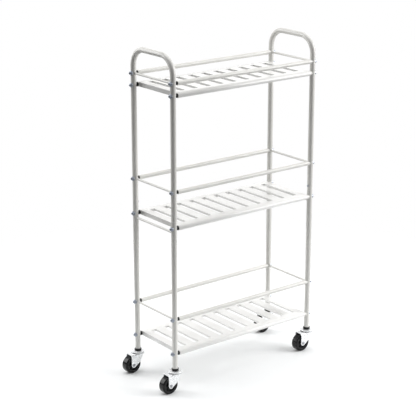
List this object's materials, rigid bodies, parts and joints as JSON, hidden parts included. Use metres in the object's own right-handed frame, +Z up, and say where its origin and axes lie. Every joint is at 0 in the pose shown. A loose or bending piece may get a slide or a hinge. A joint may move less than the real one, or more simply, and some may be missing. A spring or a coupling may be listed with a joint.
{
  "type": "rolling pantry cart",
  "caption": "Slim rolling pantry cart with slatted shelves, guard rails, bent-tube end handles and swivel casters.",
  "frame": {"origin": "centre of the whole footprint on the floor, casters trailing to the left", "axes": "+X along the shelves towards the right end frame, +Y from the front to the back, +Z up"},
  "size_m": [0.543, 0.212, 0.924],
  "materials": {
    "white_enamel": "smooth white enamel",
    "zinc": "bright zinc plate",
    "black_plastic": "black moulded plastic",
    "black_tyre": "black hard tyre"
  },
  "bodies": {
    "cart": {"left_upper_frame": "white_enamel", "right_upper_frame": "white_enamel", "front_left_leg": "white_enamel", "back_left_leg": "white_enamel", "front_right_leg": "white_enamel", "back_right_leg": "white_enamel", "top_shelf": "white_enamel", "middle_shelf": "white_enamel", "bottom_shelf": "white_enamel", "top_shelf_front_tube": "white_enamel", "top_shelf_back_tube": "white_enamel", "middle_shelf_front_tube": "white_enamel", "middle_shelf_back_tube": "white_enamel", "bottom_shelf_front_tube": "white_enamel", "bottom_shelf_back_tube": "white_enamel", "top_front_rail": "white_enamel", "top_back_rail": "white_enamel", "middle_front_rail": "white_enamel", "middle_back_rail": "white_enamel", "bottom_front_rail": "white_enamel", "bottom_back_rail": "white_enamel", "top_left_rod": "white_enamel", "top_right_rod": "white_enamel", "middle_left_rod": "white_enamel", "middle_right_rod": "white_enamel", "bottom_left_rod": "white_enamel", "bottom_right_rod": "white_enamel", "left_cross_bar": "white_enamel", "right_cross_bar": "white_enamel", "left_end_plugs": "black_plastic", "right_end_plugs": "black_plastic", "left_bolts": "zinc", "right_bolts": "zinc", "leg_screws": "zinc", "front_left_socket": "black_plastic", "back_left_socket": "black_plastic", "front_right_socket": "black_plastic", "back_right_socket": "black_plastic", "front_left_stem": "zinc", "back_left_stem": "zinc", "front_right_stem": "zinc", "back_right_stem": "zinc"},
    "front_left_caster": {"front_left_fork": "zinc", "front_left_axle": "zinc"},
    "front_left_wheel": {"front_left_hub": "black_plastic", "front_left_tyre": "black_tyre"},
    "back_left_caster": {"back_left_fork": "zinc", "back_left_axle": "zinc"},
    "back_left_wheel": {"back_left_hub": "black_plastic", "back_left_tyre": "black_tyre"},
    "front_right_caster": {"front_right_fork": "zinc", "front_right_axle": "zinc"},
    "front_right_wheel": {"front_right_hub": "black_plastic", "front_right_tyre": "black_tyre"},
    "back_right_caster": {"back_right_fork": "zinc", "back_right_axle": "zinc"},
    "back_right_wheel": {"back_right_hub": "black_plastic", "back_right_tyre": "black_tyre"}
  },
  "joints": [
    {"name": "front_left_swivel", "type": "hinge", "parent": "cart", "child": "front_left_caster", "pos_m": [-0.2235, -0.087, 0.0565], "axis": [0, 0, 1], "continuous": true},
    {"name": "front_left_roll", "type": "hinge", "parent": "front_left_caster", "child": "front_left_wheel", "pos_m": [-0.2465, -0.087, 0.025], "axis": [0, 1, 0], "continuous": true},
    {"name": "back_left_swivel", "type": "hinge", "parent": "cart", "child": "back_left_caster", "pos_m": [-0.2235, 0.087, 0.0565], "axis": [0, 0, 1], "continuous": true},
    {"name": "back_left_roll", "type": "hinge", "parent": "back_left_caster", "child": "back_left_wheel", "pos_m": [-0.2465, 0.087, 0.025], "axis": [0, 1, 0], "continuous": true},
    {"name": "front_right_swivel", "type": "hinge", "parent": "cart", "child": "front_right_caster", "pos_m": [0.2525, -0.087, 0.0565], "axis": [0, 0, 1], "continuous": true},
    {"name": "front_right_roll", "type": "hinge", "parent": "front_right_caster", "child": "front_right_wheel", "pos_m": [0.2295, -0.087, 0.025], "axis": [0, 1, 0], "continuous": true},
    {"name": "back_right_swivel", "type": "hinge", "parent": "cart", "child": "back_right_caster", "pos_m": [0.2525, 0.087, 0.0565], "axis": [0, 0, 1], "continuous": true},
    {"name": "back_right_roll", "type": "hinge", "parent": "back_right_caster", "child": "back_right_wheel", "pos_m": [0.2295, 0.087, 0.025], "axis": [0, 1, 0], "continuous": true}
  ]
}
